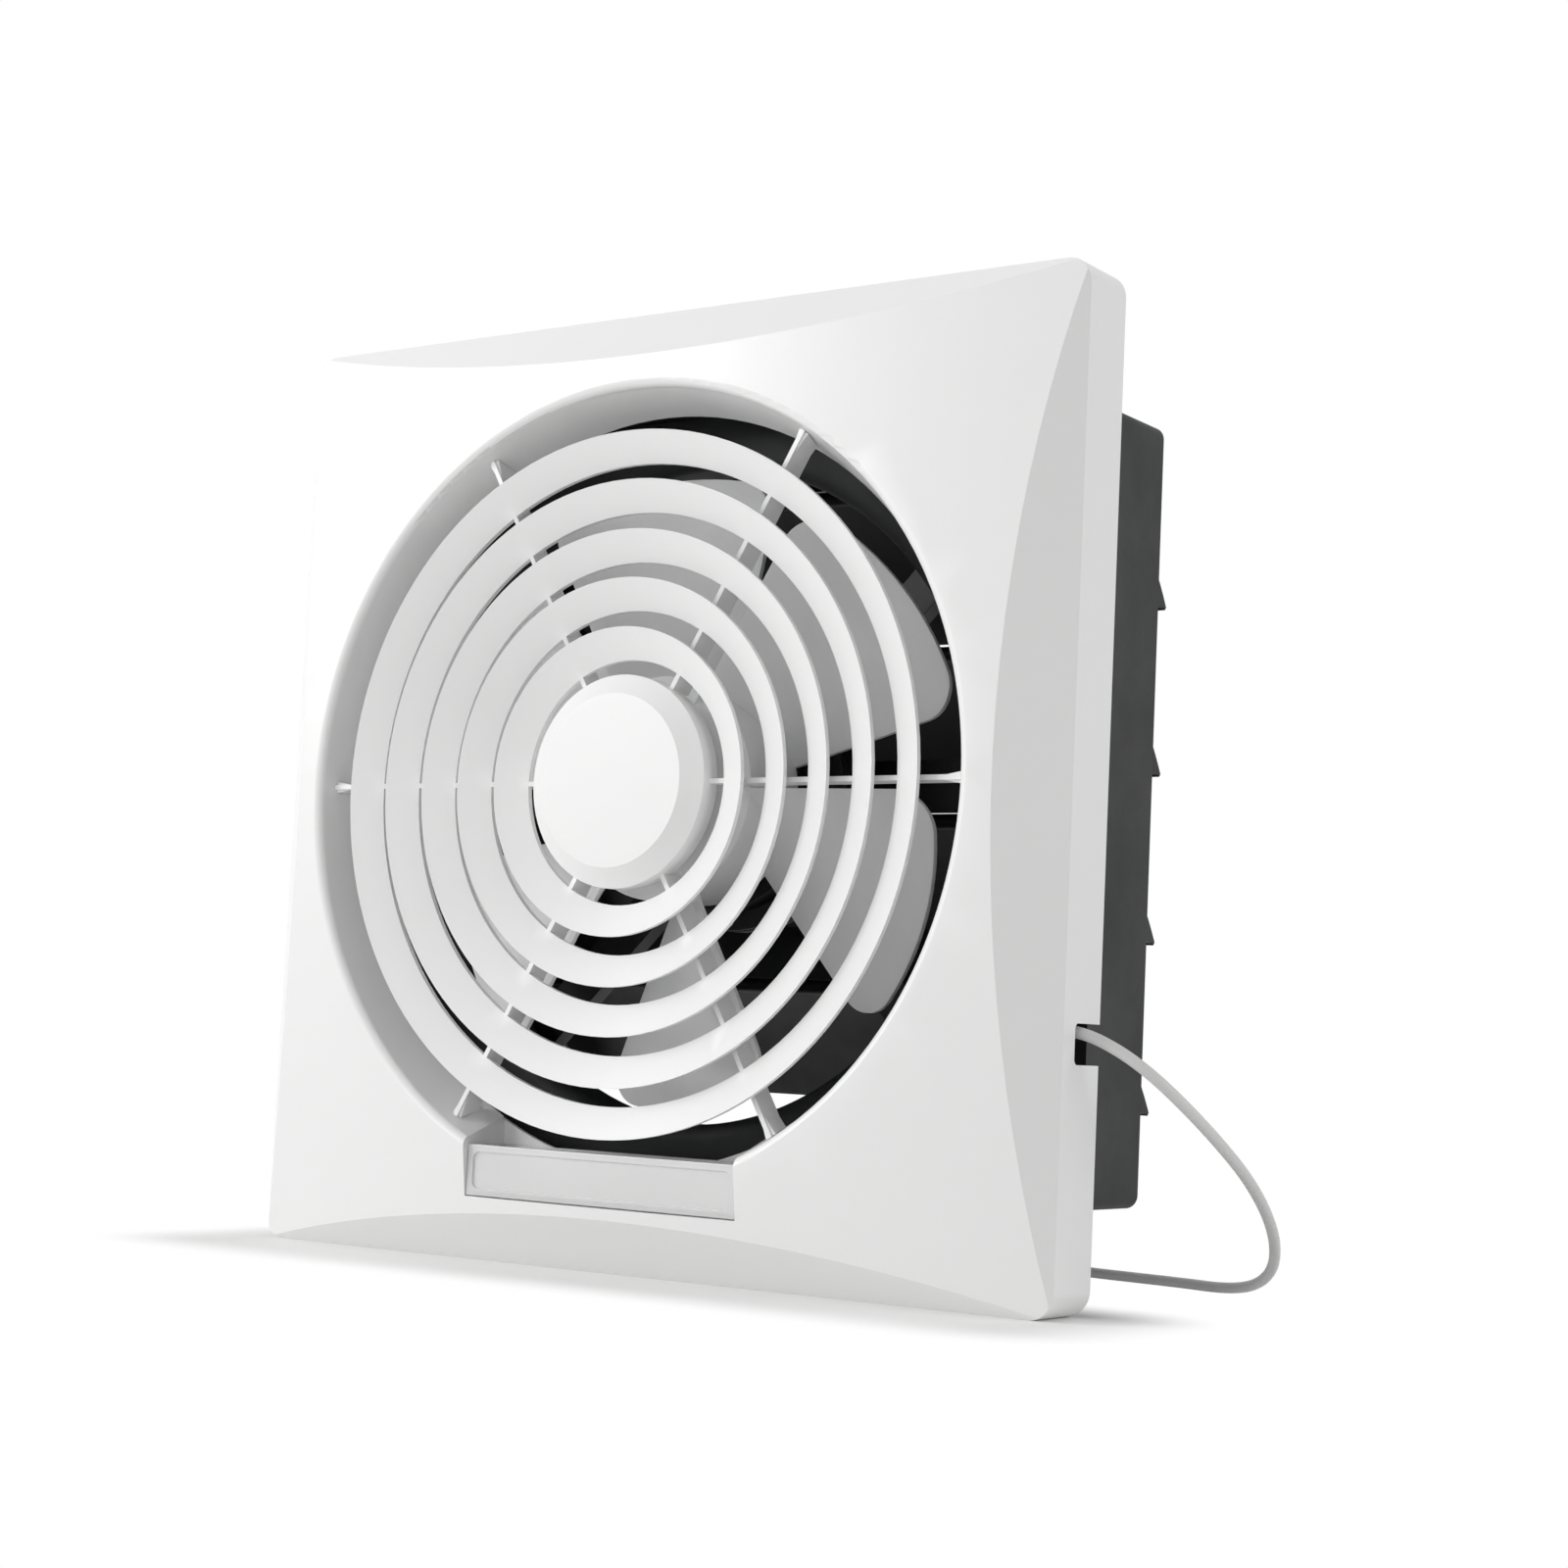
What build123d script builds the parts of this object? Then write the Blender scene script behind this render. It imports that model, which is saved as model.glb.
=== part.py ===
# Wall exhaust fan with a square front panel, a ring grille and a rear shutter of four louvres.
# The origin is the centre of the fixing screws, on the wall's face. +Y points out through the wall,
# +Z is up and the room is on the -Y side, so the fan's shaft is the Y axis.
from build123d import *
from math import atan, cos, degrees, pi, radians, sin, sqrt, tan
import os

os.makedirs("parts", exist_ok=True)

# front panel
panel_size = 350.0
skirt_depth = 24.5
panel_corner_r = 9.0
panel_wall = 2.5
dome_rise = 29.6
dome_reach = 247.5
facet_slope = 0.9
opening_r = 146.0
lip_w = 3.5
throat_rear_r = 136.0
throat_depth = 22.0
throat_wall = 2.5

# ring grille
ring_outer_radii = [127.0, 109.1, 91.0, 73.4, 55.6]
ring_band_w = 11.5
ring_band_rake = 6.0
ring_wall = 2.0
spoke_count = 6
spoke_t = 1.8
spoke_depth = 10.0
grille_setback = 0.3
boss_face_r = 31.2
boss_shoulder_r = 38.4
boss_rise = 2.6
boss_shoulder_drop = 4.6
boss_skirt = 4.0
boss_wall = 2.2
foot_w = 5.0
foot_len = 9.0
foot_gap = 0.15

# oil cup in its notch under the opening
cup_w = 120.0
cup_top_z = -132.0
cup_h = 18.4
cup_wall = 1.6
cup_rear_y = -21.0
cup_front_y = -40.5
cup_clearance = 0.4
cup_frame = 2.6
cup_frame_proud = 0.8
cup_travel = 24.0

# cord notch in the right side of the skirt
notch_top_z = -79.0
notch_h = 13.6
notch_depth = 16.7
notch_corner_r = 2.0

# body frame in the wall
body_size = 288.0
body_depth = 92.0
body_wall = 3.0
body_corner_r = 5.0
flange_size = 324.0
flange_t = 3.0
flange_corner_r = 6.0
fixing_spacing = 312.0
fixing_hole_r = 2.25
block_size = 15.0
block_front_y = 3.0
block_rear_y = 34.0
ledge_y = 63.0
ledge_t = 3.0
ledge_w = 9.0
pocket_x = 128.0
pocket_z = -80.0
pocket_h = 40.0
pocket_depth = 49.0

# orifice ring in front of the body
orifice_r = 121.5
orifice_wall = 2.5
orifice_shroud = 20.0
orifice_mouth_r = 6.0
fit_gap = 0.3

# motor bracket behind the impeller
bracket_t = 8.0
bracket_arm_w = 15.0
bracket_ring_w = 7.0
screw_r = 1.6
screw_head_r = 3.4
screw_head_h = 2.4

# motor
motor_r = 42.0
motor_front_y = 22.0
stator_y = 31.0
stator_len = 22.0
motor_rear_y = 62.0
bell_wall = 2.0
stator_bore_r = 23.0
stator_tooth_r = 35.0
coil_slot_r = 24.2
rotor_gap = 0.4
shaft_r = 4.0
bearing_r = 11.0
bearing_w = 7.0
bearing_seat = 2.0
running_gap = 0.05

# impeller
blade_count = 6
blade_tip_r = 117.0
blade_lead_deg = 59.0
blade_trail_deg = 14.0
blade_lead_y = -20.0
blade_trail_y = 12.0
blade_tip_trail_y = 2.0
blade_t = 2.2
blade_camber = 5.0
blade_corner_r = 13.0
hub_r = 41.0
hub_wall = 2.6
hub_front_y = -23.0
hub_rear_y = 13.0
hub_boss_r = 10.0
spinner_r = 17.0
spinner_len = 9.0
drive_pin_r = 1.5
drive_pin_y = 10.0
shaft_front_y = -29.0

# shutter at the rear
louvre_count = 4
louvre_pitch = 64.0
louvre_top_z = 124.0
louvre_axis_y = 78.5
louvre_chord = 63.5
louvre_width = 260.0
louvre_t = 1.6
louvre_bow = 4.5
louvre_open_deg = 48.0
louvre_closed_deg = 5.0
louvre_cheek_t = 2.0
louvre_cheek_drop = 9.0
barrel_r = 3.0
pivot_r = 1.75
pivot_len = 4.5
pivot_gap = 0.08
stile_gap = 1.0
shutter_front_y = 66.0
shutter_rear_y = 90.0
rail_h = 4.2
cross_rail_y = 68.5
cross_rail_w = 222.0
cross_rail_h = 20.0
cross_rail_t = 2.5
cross_rail_lift = 2.5
crank_pass_h = 8.0
head_strip_h = 7.5
head_strip_t = 6.0
crank_r = 16.0
crank_x = 118.0
crank_t = 2.5
crank_open_deg = 204.0
crank_pin_r = 1.5
crank_pin_len = 4.6
drive_disc_r = 19.5
drive_disc_t = 3.5
rod_t = 3.0
rod_w = 8.0
rod_end = 4.6
rod_gap = 0.4
drive_z = 28.0
drive_y = 50.0

# shutter motor on the body's right wall
drive_box_w = 25.0
drive_box_h = 34.0
drive_shaft_r = 2.5

# wiring
terminal_x = 114.0
terminal_w = 44.0
terminal_bottom_z = -152.0
terminal_h = 37.0
terminal_d = 17.0
terminal_wall = 1.6
cord_d = 4.0
bush_r = 4.2
bush_len = 11.0
bush_sunk = 7.0
bush_taper_deg = 7.5
capacitor_size = (38.0, 26.0, 15.0)
capacitor_x = -42.0
capacitor_y = 20.0
lead_r = 2.0

# coil of spare cord and plug, on the surface that the panel stands on
floor_z = -panel_size / 2
coil_mean_r = 22.0
coil_turns = 4
coil_pitch = 4.6
coil_layer = 4.5
coil_x = 40.0
coil_y = 118.0
tie_w = 5.0
tie_t = 0.9
plug_len = 30.0
plug_w = 24.0
plug_nose = 28.0
plug_nose_r = 4.2
pin_len = 16.0
pin_w = 6.3
pin_t = 1.5
pin_spacing = 12.7

# clip ribs of the panel and their springs on the flange
rib_x = 88.0
rib_z = 157.0
rib_w = 12.0
rib_t = 1.6
rib_end_y = -8.0
clip_t = 0.8
clip_gap = 0.1
clip_h = 11.0

# places that follow from the sizes above
edge_y = -skirt_depth
dome_r = (dome_reach**2 + dome_rise**2) / (2 * dome_rise)
dome_centre_y = edge_y - dome_rise + dome_r
lip_y = dome_centre_y - sqrt(dome_r**2 - opening_r**2)
ring_y = lip_y + grille_setback
throat_rear_y = lip_y + throat_depth
throat_front_r = opening_r - lip_w
throat_taper = (throat_front_r - throat_rear_r) / (throat_depth - lip_w)
block_place = body_size / 2 - body_wall - block_size / 2
inner_half = body_size / 2 - body_wall
stile_in = louvre_width / 2 + stile_gap
plate_rear_y = block_front_y
plate_front_y = plate_rear_y - orifice_wall
bell_screw_r = motor_r + fit_gap + bracket_ring_w / 2
frame_screw_x = inner_half - 5.0
frame_screw_z = 130.0
lead_x = 135.5
lead_z = -119.3
coil_low_z = floor_z + tie_t + 0.3 + cord_d / 2
coil_end_y = coil_y + coil_mean_r + coil_pitch * coil_turns / 4
plug_h = 2 * (coil_low_z + coil_layer - floor_z)
bush_x = terminal_x + terminal_w - 11.0
bush_y = -flange_t - terminal_d / 2 - 0.5
bush_z = terminal_bottom_z + terminal_h


def facing(y, x=0.0, z=0.0):
    # plane seen from the room: its X is right, its Y is up and its normal points into the room
    return Plane(origin=(x, y, z), x_dir=(1, 0, 0), z_dir=(0, -1, 0))


def throat_r(y):
    return throat_front_r - throat_taper * (y - lip_y - lip_w)


def finish(part, name):
    part.label = name
    export_step(part, "parts/" + name + ".step")


# front panel: square skirt, four sloping facets and a shallow dome
def panel_form(inset):
    half = panel_size / 2 - inset
    start_y = edge_y + inset * (sqrt(1 + facet_slope**2) - facet_slope)
    facet_h = 21.5
    with BuildPart() as form:
        with BuildSketch(facing(0)):
            Rectangle(2 * (half - start_y / facet_slope), 2 * (half - start_y / facet_slope))
        extrude(amount=facet_h - start_y, taper=degrees(atan(1 / facet_slope)))
        with BuildSketch(facing(0)):
            RectangleRounded(2 * half, 2 * half, panel_corner_r - inset)
        extrude(amount=-start_y + facet_h + 1, mode=Mode.INTERSECT)
        with Locations((0, dome_centre_y, 0)):
            Sphere(dome_r - inset, mode=Mode.INTERSECT)
    return form.part


panel_outer = panel_form(0)
panel_inner = panel_form(panel_wall)
panel_middle = panel_form(panel_wall / 2)

# front panel: the shell, the throat round the opening, the bay of the oil cup and four clip ribs
bay_w = cup_w + 2 * cup_clearance
bay_floor_z = cup_top_z - cup_h - cup_clearance
bay_top_z = -100.0
with BuildPart() as throat_room:
    with BuildSketch(Plane.XY):
        Polygon(
            (0, lip_y - 20),
            (opening_r, lip_y - 20),
            (opening_r, lip_y + throat_wall),
            (throat_rear_r + throat_wall / 2, throat_rear_y),
            (throat_rear_r + throat_wall / 2, 0),
            (0, 0),
            align=None,
        )
    revolve(axis=Axis.Y)

with BuildPart() as bay:
    with BuildSketch(facing(cup_rear_y + cup_wall)):
        with Locations((0, (bay_floor_z + bay_top_z - cup_wall) / 2)):
            Rectangle(bay_w + 2 * cup_wall, bay_top_z - bay_floor_z + cup_wall)
    extrude(amount=40)
    add(panel_middle, mode=Mode.INTERSECT)
    add(throat_room.part, mode=Mode.SUBTRACT)

with BuildPart() as bay_room:
    with BuildSketch(facing(cup_rear_y)):
        with Locations((0, (bay_floor_z + bay_top_z) / 2)):
            Rectangle(bay_w, bay_top_z - bay_floor_z)
    extrude(amount=40)

with BuildPart() as clip_ribs:
    with BuildSketch(facing(rib_end_y)):
        with Locations((-rib_x, rib_z), (rib_x, rib_z), (-rib_x, -rib_z), (rib_x, -rib_z)):
            Rectangle(rib_w, rib_t)
    extrude(amount=50)
    add(panel_middle, mode=Mode.INTERSECT)

with BuildPart() as front_panel:
    add(panel_outer)
    add(panel_inner, mode=Mode.SUBTRACT)
    with BuildSketch(facing(0)):
        Circle(opening_r)
    extrude(amount=-lip_y + dome_rise, mode=Mode.SUBTRACT)
    with BuildSketch(Plane.XY):
        with BuildLine():
            lip_mid = lip_w * sqrt(0.5)
            start = (opening_r, lip_y)
            inner = (throat_front_r, lip_y + lip_w)
            ThreePointArc(start, (opening_r - lip_mid, lip_y + lip_w - lip_mid), inner)
            Polyline(
                inner,
                (throat_rear_r, throat_rear_y),
                (throat_rear_r + throat_wall, throat_rear_y),
                (opening_r + 1, lip_y + lip_w + throat_wall),
                (opening_r + 1, lip_y + throat_wall / 2),
                start,
            )
        make_face()
    revolve(axis=Axis.Y)
    add(bay.part)
    add(bay_room.part, mode=Mode.SUBTRACT)
    add(clip_ribs.part)
    with BuildSketch(Plane.YZ.offset(panel_size / 2 - 3 * panel_wall)):
        with Locations((-notch_depth / 2 + 2, notch_top_z - notch_h / 2)):
            RectangleRounded(notch_depth + 4, notch_h, notch_corner_r)
    extrude(amount=4 * panel_wall, mode=Mode.SUBTRACT)
finish(front_panel.part, "front_panel")

# ring grille: turned rings, six spokes and the centre boss
with BuildPart() as ring_grille:
    for ring_r in ring_outer_radii:
        with BuildSketch(Plane.XY):
            Polygon(
                (ring_r, ring_y),
                (ring_r, ring_y + ring_wall),
                (ring_r - ring_band_w, ring_y + ring_band_rake + ring_wall),
                (ring_r - ring_band_w, ring_y + ring_band_rake),
                align=None,
            )
        revolve(axis=Axis.Y)
    boss_y = ring_y - boss_rise
    with BuildSketch(Plane.XY):
        Polygon(
            (0, boss_y),
            (boss_face_r, boss_y),
            (boss_shoulder_r, boss_y + boss_shoulder_drop),
            (boss_shoulder_r, ring_y + ring_band_rake + boss_skirt),
            (boss_shoulder_r - boss_wall, ring_y + ring_band_rake + boss_skirt),
            (boss_shoulder_r - boss_wall, boss_y + boss_shoulder_drop + boss_wall),
            (boss_face_r, boss_y + boss_wall),
            (0, boss_y + boss_wall),
            align=None,
        )
    revolve(axis=Axis.Y)
    spoke_front_y = ring_y + ring_band_rake
    spoke_len = throat_front_r - boss_shoulder_r + boss_wall / 2
    with BuildSketch(facing(spoke_front_y)):
        with PolarLocations(boss_shoulder_r - boss_wall / 2 + spoke_len / 2, spoke_count):
            Rectangle(spoke_len, spoke_t)
    extrude(amount=-spoke_depth)
    with BuildSketch(facing(spoke_front_y + 1)):
        with PolarLocations(throat_front_r - foot_len / 2, spoke_count):
            Trapezoid(foot_w, foot_len, 80, rotation=90)
    extrude(amount=1 - spoke_depth)
    with BuildSketch(Plane.XY):
        Polygon(
            (0, boss_y - 1),
            (throat_r(boss_y) - foot_gap, boss_y - 1),
            (throat_rear_r - foot_gap, throat_rear_y),
            (0, throat_rear_y),
            align=None,
        )
    revolve(axis=Axis.Y, mode=Mode.INTERSECT)
finish(ring_grille.part, "ring_grille")

# oil cup: clear tray with a raised frame round its front wall
with BuildPart() as oil_cup:
    cup_mid_z = cup_top_z - cup_h / 2
    cup_base_y = cup_rear_y - cup_clearance
    with BuildSketch(facing(cup_base_y)):
        with Locations((0, cup_mid_z)):
            Rectangle(cup_w, cup_h)
    extrude(amount=cup_base_y - cup_front_y)
    with BuildSketch(facing(cup_base_y - cup_wall)):
        with Locations((0, cup_mid_z + cup_wall)):
            Rectangle(cup_w - 2 * cup_wall, cup_h)
    extrude(amount=cup_base_y - cup_front_y - 2 * cup_wall, mode=Mode.SUBTRACT)
    with BuildSketch(facing(cup_front_y)):
        with Locations((0, cup_mid_z)):
            Rectangle(cup_w, cup_h)
            RectangleRounded(cup_w - 2 * cup_frame, cup_h - 2 * cup_frame, cup_frame, mode=Mode.SUBTRACT)
    extrude(amount=cup_frame_proud)
finish(oil_cup.part, "oil_cup")

# body frame: square duct with a flange on the wall's face
with BuildPart() as body_frame:
    with BuildSketch(facing(0)):
        RectangleRounded(body_size, body_size, body_corner_r)
    extrude(amount=-body_depth)
    with BuildSketch(facing(-flange_t)):
        RectangleRounded(flange_size, flange_size, flange_corner_r)
    extrude(amount=-flange_t)
    with BuildSketch(facing(-flange_t)):
        RectangleRounded(2 * inner_half, 2 * inner_half, body_corner_r - body_wall)
    extrude(amount=-body_depth - flange_t, mode=Mode.SUBTRACT)
    with BuildSketch(facing(block_front_y)):
        with GridLocations(2 * block_place, 2 * block_place, 2, 2):
            Rectangle(block_size + 0.2, block_size + 0.2)
    extrude(amount=block_front_y - block_rear_y)
    with BuildSketch(facing(ledge_y)):
        with GridLocations(2 * inner_half - ledge_w, 0, 2, 1):
            Rectangle(ledge_w + 1, 2 * inner_half + 1)
        with GridLocations(2 * frame_screw_x, 2 * frame_screw_z, 2, 2):
            Circle(screw_r, mode=Mode.SUBTRACT)
    extrude(amount=-ledge_t)
    with BuildSketch(Plane.YZ.offset(pocket_x - body_wall)):
        with Locations(((pocket_depth + body_wall) / 2, pocket_z)):
            Rectangle(pocket_depth + body_wall, pocket_h + 2 * body_wall)
    extrude(amount=body_size / 2 - pocket_x + body_wall)
    with BuildSketch(Plane.YZ.offset(pocket_x)):
        with Locations(((pocket_depth - flange_t) / 2, pocket_z)):
            Rectangle(pocket_depth + flange_t, pocket_h)
    extrude(amount=flange_size, mode=Mode.SUBTRACT)
    with BuildSketch(facing(-flange_t)):
        with GridLocations(fixing_spacing, fixing_spacing, 2, 2):
            Circle(fixing_hole_r)
    extrude(amount=-flange_t, mode=Mode.SUBTRACT)
    with BuildSketch(facing(block_front_y)):
        with GridLocations(2 * block_place, 2 * block_place, 2, 2):
            Circle(screw_r)
    extrude(amount=block_front_y - block_rear_y, mode=Mode.SUBTRACT)
finish(body_frame.part, "body_frame")

# orifice ring: plate with a bell mouth round the impeller
with BuildPart() as orifice_ring:
    with BuildSketch(facing(plate_front_y)):
        RectangleRounded(2 * (inner_half - fit_gap), 2 * (inner_half - fit_gap), body_corner_r - body_wall)
        Circle(orifice_r + orifice_mouth_r, mode=Mode.SUBTRACT)
    extrude(amount=-orifice_wall)
    with BuildSketch(Plane.XY):
        with BuildLine():
            mouth_mid = orifice_mouth_r * (1 - sqrt(0.5))
            mouth = (orifice_r + orifice_mouth_r, plate_front_y)
            neck = (orifice_r, plate_front_y + orifice_mouth_r)
            ThreePointArc(mouth, (orifice_r + mouth_mid, plate_front_y + mouth_mid), neck)
            Polyline(
                neck,
                (orifice_r, plate_front_y + orifice_shroud),
                (orifice_r + orifice_wall, plate_front_y + orifice_shroud),
                (orifice_r + orifice_wall, plate_front_y + orifice_mouth_r),
                (orifice_r + orifice_mouth_r + 1, plate_rear_y),
                (orifice_r + orifice_mouth_r + 1, plate_front_y),
                mouth,
            )
        make_face()
    revolve(axis=Axis.Y)
    with BuildSketch(facing(plate_front_y)):
        with Locations((inner_half, pocket_z)):
            Rectangle(2 * (inner_half - pocket_x + body_wall + fit_gap), pocket_h + 2 * body_wall + 2 * fit_gap)
        with GridLocations(2 * block_place, 2 * block_place, 2, 2):
            Circle(screw_r + 0.2)
        with Locations((lead_x, lead_z)):
            Circle(lead_r + 1)
    extrude(amount=-orifice_wall, mode=Mode.SUBTRACT)
finish(orifice_ring.part, "orifice_ring")


def screws(name, places, head_y, length, head_dir, radius=screw_r, head_radius=screw_head_r):
    # pan head screws along Y: head_dir is -1 for a head on the room side and 1 for one at the rear
    with BuildPart() as group:
        with BuildSketch(facing(head_y)):
            with Locations(*places):
                Circle(head_radius)
        extrude(amount=-head_dir * screw_head_h)
        with BuildSketch(facing(head_y)):
            with Locations(*places):
                Circle(radius)
        extrude(amount=head_dir * length)
        with BuildSketch(facing(head_y + head_dir * screw_head_h)):
            with Locations(*places):
                Rectangle(head_radius * 1.2, head_radius * 0.3)
                Rectangle(head_radius * 0.3, head_radius * 1.2)
        extrude(amount=head_dir * screw_head_h / 2, mode=Mode.SUBTRACT)
    finish(group.part, name)


corners = [(sx * block_place, sz * block_place) for sx in (-1, 1) for sz in (-1, 1)]
thread_r = screw_r - running_gap
screws("orifice_screws", corners, plate_front_y, 14, -1, thread_r)
screws("bracket_screws", corners, block_rear_y + bracket_t, 20, 1, thread_r)

# motor bracket: ring round the motor and four diagonal arms
with BuildPart() as motor_bracket:
    arm_len = sqrt(2) * block_place + block_size / 2
    with BuildSketch(facing(block_rear_y)):
        with Locations(Rotation(0, 0, 45), Rotation(0, 0, 135)):
            Rectangle(2 * arm_len - block_size, bracket_arm_w)
        with GridLocations(2 * block_place, 2 * block_place, 2, 2):
            RectangleRounded(block_size - fit_gap, block_size - fit_gap, 2)
        Circle(motor_r + fit_gap + bracket_ring_w)
        Circle(motor_r + fit_gap, mode=Mode.SUBTRACT)
        with GridLocations(2 * block_place, 2 * block_place, 2, 2):
            Circle(screw_r, mode=Mode.SUBTRACT)
        with PolarLocations(bell_screw_r, 4):
            Circle(screw_r, mode=Mode.SUBTRACT)
    extrude(amount=-bracket_t)
finish(motor_bracket.part, "motor_bracket")
bracket_rear_y = block_rear_y + bracket_t
ear_t = 2.5


def bell(name, end_y, flange_y, toward):
    # motor end bell: cup with a bearing seat, from its closed end to the bracket's middle, and a flange
    middle_y = block_rear_y + bracket_t / 2
    with BuildPart() as shell:
        with BuildSketch(Plane.XY):
            Polygon(
                (0, end_y),
                (motor_r, end_y),
                (motor_r, middle_y),
                (motor_r - bell_wall, middle_y),
                (motor_r - bell_wall, end_y + toward * bell_wall),
                (bearing_r + bearing_seat, end_y + toward * bell_wall),
                (bearing_r + bearing_seat, end_y + toward * (bell_wall + bearing_w)),
                (bearing_r, end_y + toward * (bell_wall + bearing_w)),
                (bearing_r, end_y + toward * bell_wall),
                (0, end_y + toward * bell_wall),
                align=None,
            )
        revolve(axis=Axis.Y)
        with BuildSketch(Plane.XY):
            Polygon(
                (motor_r - 1, flange_y),
                (motor_r + bracket_ring_w, flange_y),
                (motor_r + bracket_ring_w, flange_y - toward * ear_t),
                (motor_r - 1, flange_y - toward * ear_t),
                align=None,
            )
        revolve(axis=Axis.Y)
        with BuildSketch(facing(flange_y)):
            with PolarLocations(bell_screw_r, 4):
                Circle(screw_r)
        extrude(amount=toward * ear_t, mode=Mode.SUBTRACT)
        if toward > 0:
            with BuildSketch(facing(end_y)):
                Circle(shaft_r + 1)
            extrude(amount=-bell_wall, mode=Mode.SUBTRACT)
    finish(shell.part, name)


bell("motor_front_bell", motor_front_y, block_rear_y, 1)
bell("motor_rear_bell", motor_rear_y, bracket_rear_y, -1)
bell_places = [(bell_screw_r, 0), (0, bell_screw_r), (-bell_screw_r, 0), (0, -bell_screw_r)]
screws("motor_screws", bell_places, bracket_rear_y + ear_t, bracket_t + 2 * ear_t, 1, thread_r, 3.0)


def turned(name, points):
    with BuildPart() as piece:
        with BuildSketch(Plane.XY):
            Polygon(*points, align=None)
        revolve(axis=Axis.Y)
    finish(piece.part, name)


def ring_points(r_in, r_out, y_in, y_out):
    return [(r_in, y_in), (r_out, y_in), (r_out, y_out), (r_in, y_out)]


stator_r = motor_r - bell_wall
front_bearing_y = motor_front_y + bell_wall
rear_bearing_y = motor_rear_y - bell_wall - bearing_w
turned("front_bearing", ring_points(shaft_r + running_gap, bearing_r, front_bearing_y, front_bearing_y + bearing_w))
turned("rear_bearing", ring_points(shaft_r + running_gap, bearing_r, rear_bearing_y, rear_bearing_y + bearing_w))
stator_rear_y = stator_y + stator_len
turned("stator_core", ring_points(stator_bore_r, stator_r, stator_y, stator_rear_y))
winding_len = 3.5
with BuildPart() as stator_windings:
    with BuildSketch(Plane.XY):
        Polygon(*ring_points(coil_slot_r, stator_tooth_r, stator_y - winding_len, stator_y), align=None)
        Polygon(*ring_points(coil_slot_r, stator_tooth_r, stator_rear_y, stator_rear_y + winding_len), align=None)
    revolve(axis=Axis.Y)
finish(stator_windings.part, "stator_windings")
turned("rotor", ring_points(shaft_r, stator_bore_r - rotor_gap, stator_y, stator_rear_y))
shaft_rear_y = motor_rear_y - bell_wall - 0.6
with BuildPart() as motor_shaft:
    with BuildSketch(facing(shaft_front_y)):
        Circle(shaft_r)
    extrude(amount=shaft_front_y - shaft_rear_y)
    with BuildSketch(Plane.YZ):
        with Locations((drive_pin_y, 0)):
            Circle(drive_pin_r)
    extrude(amount=shaft_r + 1, both=True, mode=Mode.SUBTRACT)
finish(motor_shaft.part, "motor_shaft")
with BuildPart() as drive_pin:
    with BuildSketch(Plane.YZ):
        with Locations((drive_pin_y, 0)):
            Circle(drive_pin_r)
    extrude(amount=hub_boss_r - 0.5, both=True)
finish(drive_pin.part, "drive_pin")

# impeller: hub cup, ribs and swept blades
mid_deg = (blade_lead_deg + blade_trail_deg) / 2
half_deg = (blade_lead_deg - blade_trail_deg) / 2


def blade_section(r, trail_y):
    # curved strip across the blade, on the plane square to the radius at r
    reach = r * tan(radians(half_deg))
    square = Plane(origin=(r, 0, 0), x_dir=(0, 0, 1), z_dir=(1, 0, 0))
    with BuildSketch(square) as strip:
        with BuildLine():
            lead = (reach, -blade_lead_y)
            trail = (-reach, -trail_y)
            middle = (0, -(blade_lead_y + trail_y) / 2 - blade_camber)
            ThreePointArc(lead, middle, trail)
            Line(trail, (trail[0], trail[1] - blade_t))
            ThreePointArc(
                (trail[0], trail[1] - blade_t),
                (middle[0], middle[1] - blade_t),
                (lead[0], lead[1] - blade_t),
            )
            Line((lead[0], lead[1] - blade_t), lead)
        make_face()
    return strip.sketch


with BuildPart() as blade:
    add(blade_section(hub_r - 3, blade_trail_y).face())
    add(blade_section(blade_tip_r + 3, blade_tip_trail_y).face())
    loft(ruled=True)
    with BuildSketch(facing(-60)):
        with BuildLine():
            root_r = hub_r - hub_wall / 2
            along = cos(radians(half_deg))
            aside = sin(radians(half_deg))
            tip_low = (blade_tip_r * along, -blade_tip_r * aside)
            tip_high = (blade_tip_r * along, blade_tip_r * aside)
            Polyline(tip_low, (root_r * along, -root_r * aside), (root_r * along, root_r * aside), tip_high)
            ThreePointArc(tip_low, (blade_tip_r, 0), tip_high)
        make_face()
        fillet(vertices().sort_by(Axis.X)[-2:], blade_corner_r)
    extrude(amount=-120, mode=Mode.INTERSECT)

with BuildPart() as impeller:
    with BuildSketch(Plane.XY):
        Polygon(
            (shaft_r, hub_front_y),
            (hub_r - 8, hub_front_y),
            (hub_r, hub_front_y + 6),
            (hub_r, hub_rear_y),
            (hub_r - hub_wall, hub_rear_y),
            (hub_r - hub_wall, hub_front_y + 7),
            (hub_r - 9, hub_front_y + hub_wall),
            (hub_boss_r, hub_front_y + hub_wall),
            (hub_boss_r, hub_rear_y),
            (shaft_r, hub_rear_y),
            align=None,
        )
    revolve(axis=Axis.Y)
    with BuildSketch(facing(hub_front_y + 1)):
        with PolarLocations((hub_r + hub_boss_r) / 2 - 0.5, blade_count):
            Rectangle(hub_r - hub_boss_r - 1.5, 1.6)
    extrude(amount=-12)
    for k in range(blade_count):
        add(blade.part.rotate(Axis.Y, -mid_deg - k * 360 / blade_count))
    with BuildSketch(Plane.YZ):
        with Locations((drive_pin_y + 5, 0)):
            Rectangle(2 * drive_pin_r + 10, 2 * drive_pin_r)
    extrude(amount=hub_boss_r + 1, both=True, mode=Mode.SUBTRACT)
finish(impeller.part, "impeller")

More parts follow.
